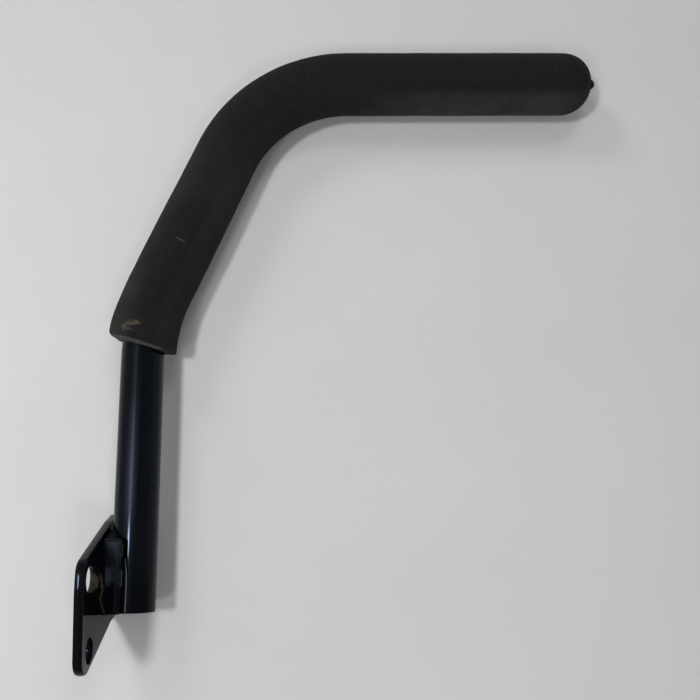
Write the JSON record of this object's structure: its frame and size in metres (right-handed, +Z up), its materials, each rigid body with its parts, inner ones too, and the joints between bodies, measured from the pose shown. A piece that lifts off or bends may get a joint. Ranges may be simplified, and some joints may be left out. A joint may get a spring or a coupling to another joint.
{
  "type": "bed assist rail",
  "caption": "Bent steel assist rail arm with a closed-end foam grip on its upper part and a welded bolt-on plate with a hole and a slot at its foot.",
  "frame": {"origin": "on the mounting plate's outer face, midway between the centres of its round bolt hole and its slot", "axes": "+Z up along the lower part of the tube, +X out of the plate towards the grip's free end, +Y away from the side that carries the bolt holes' edge"},
  "size_m": [0.3082, 0.0728, 0.3771],
  "materials": {
    "gloss_paint": "gloss blue-black powder coat on steel",
    "weld_paint": "gloss black coat over rippled weld, with a little rust",
    "grip_foam": "matt, finely pored closed-cell foam, lightly soiled",
    "plug_plastic": "matt moulded plastic"
  },
  "bodies": {
    "root": {"rail_tube": "gloss_paint", "tube_end_plug": "plug_plastic", "foam_grip": "grip_foam", "mounting_plate": "gloss_paint", "side_bar_near": "gloss_paint", "side_bar_far": "gloss_paint", "plate_weld_near": "weld_paint", "plate_weld_far": "weld_paint", "tube_weld_near": "weld_paint", "tube_weld_far": "weld_paint", "top_weld_near": "weld_paint", "top_weld_far": "weld_paint"}
  },
  "joints": []
}
